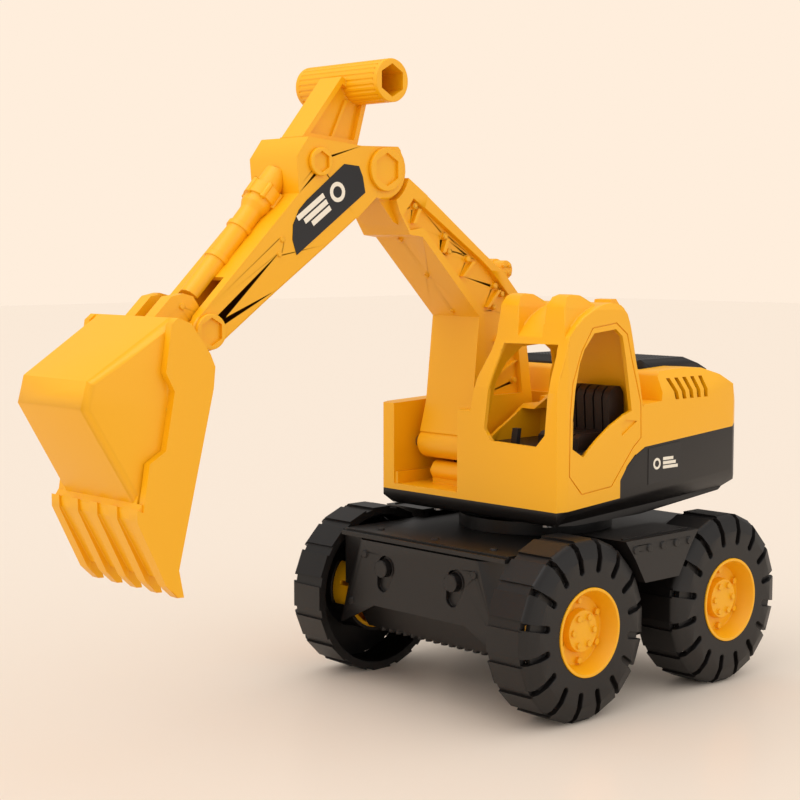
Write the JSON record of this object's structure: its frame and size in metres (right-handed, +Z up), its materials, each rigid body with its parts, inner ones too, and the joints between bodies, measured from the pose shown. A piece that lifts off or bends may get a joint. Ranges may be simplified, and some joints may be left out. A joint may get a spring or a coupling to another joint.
{
  "type": "toy excavator",
  "caption": "Wheeled sandbox toy excavator with a slewing cab, hinged boom, arm and toothed bucket, and a crossbar grip for pushing and digging by hand.",
  "frame": {"origin": "on the ground, on the slew axis of the turntable", "axes": "+X towards the digging end with the house facing forward, +Y to the cab side (the machine's left), +Z up"},
  "size_m": [0.4331, 0.1968, 0.3587],
  "materials": {
    "yellow_plastic": "satin moulded yellow",
    "black_plastic": "satin moulded black",
    "tyre_plastic": "satin moulded black, hard hollow tyre",
    "seat_plastic": "satin brown-black",
    "steel": "plain zinc-bright steel",
    "decal": "printed film, dark, blank"
  },
  "bodies": {
    "undercarriage": {"chassis_upper": "black_plastic", "chassis_lower": "black_plastic", "chassis_screws": "steel", "turntable_ring": "black_plastic", "slew_post": "black_plastic", "slew_washer": "black_plastic", "slew_screw": "steel"},
    "front_wheels": {"front_axle": "steel", "tyre_front_left": "tyre_plastic", "tyre_front_right": "tyre_plastic", "rim_front_left": "yellow_plastic", "rim_front_right": "yellow_plastic", "hub_cap_front_left": "yellow_plastic", "hub_cap_front_right": "yellow_plastic"},
    "rear_wheels": {"rear_axle": "steel", "tyre_rear_left": "tyre_plastic", "tyre_rear_right": "tyre_plastic", "rim_rear_left": "yellow_plastic", "rim_rear_right": "yellow_plastic", "hub_cap_rear_left": "yellow_plastic", "hub_cap_rear_right": "yellow_plastic"},
    "house": {"tub": "black_plastic", "tub_screws": "steel", "body_shell": "yellow_plastic", "cab_shell": "yellow_plastic", "engine_cover": "black_plastic", "cab_floor": "black_plastic", "seat": "seat_plastic", "lever": "black_plastic", "side_patch_left": "decal", "side_patch_right": "decal", "boom_pin": "steel"},
    "boom": {"boom_shell": "yellow_plastic", "boom_back_cover": "yellow_plastic"},
    "arm": {"arm_shell": "yellow_plastic", "arm_under_cover": "yellow_plastic", "arm_ram": "yellow_plastic", "handle": "yellow_plastic", "arm_pin": "yellow_plastic", "arm_pin_cap": "yellow_plastic", "handle_pin": "yellow_plastic", "handle_pin_cap": "yellow_plastic", "bucket_pin": "yellow_plastic", "bucket_pin_cap": "yellow_plastic", "arm_decal_left": "decal", "arm_decal_right": "decal"},
    "bucket": {"bucket_shell": "yellow_plastic"}
  },
  "joints": [
    {"name": "slew", "type": "hinge", "parent": "undercarriage", "child": "house", "pos_m": [0, 0, 0.1], "axis": [0, 0, 1], "continuous": true},
    {"name": "front_axle", "type": "hinge", "parent": "undercarriage", "child": "front_wheels", "pos_m": [0.0631, 0, 0.05], "axis": [0, 1, 0], "continuous": true},
    {"name": "rear_axle", "type": "hinge", "parent": "undercarriage", "child": "rear_wheels", "pos_m": [-0.0631, 0, 0.05], "axis": [0, 1, 0], "continuous": true},
    {"name": "boom_lift", "type": "hinge", "parent": "house", "child": "boom", "pos_m": [0.038, -0.0337, 0.139], "axis": [0, 1, 0], "range_deg": [-12, 25]},
    {"name": "arm_swing", "type": "hinge", "parent": "boom", "child": "arm", "pos_m": [0.1105, -0.0337, 0.2998], "axis": [0, 1, 0], "range_deg": [-40, 35]},
    {"name": "bucket_curl", "type": "hinge", "parent": "arm", "child": "bucket", "pos_m": [0.2322, -0.0337, 0.214], "axis": [0, -1, 0], "range_deg": [-55, 36]}
  ]
}
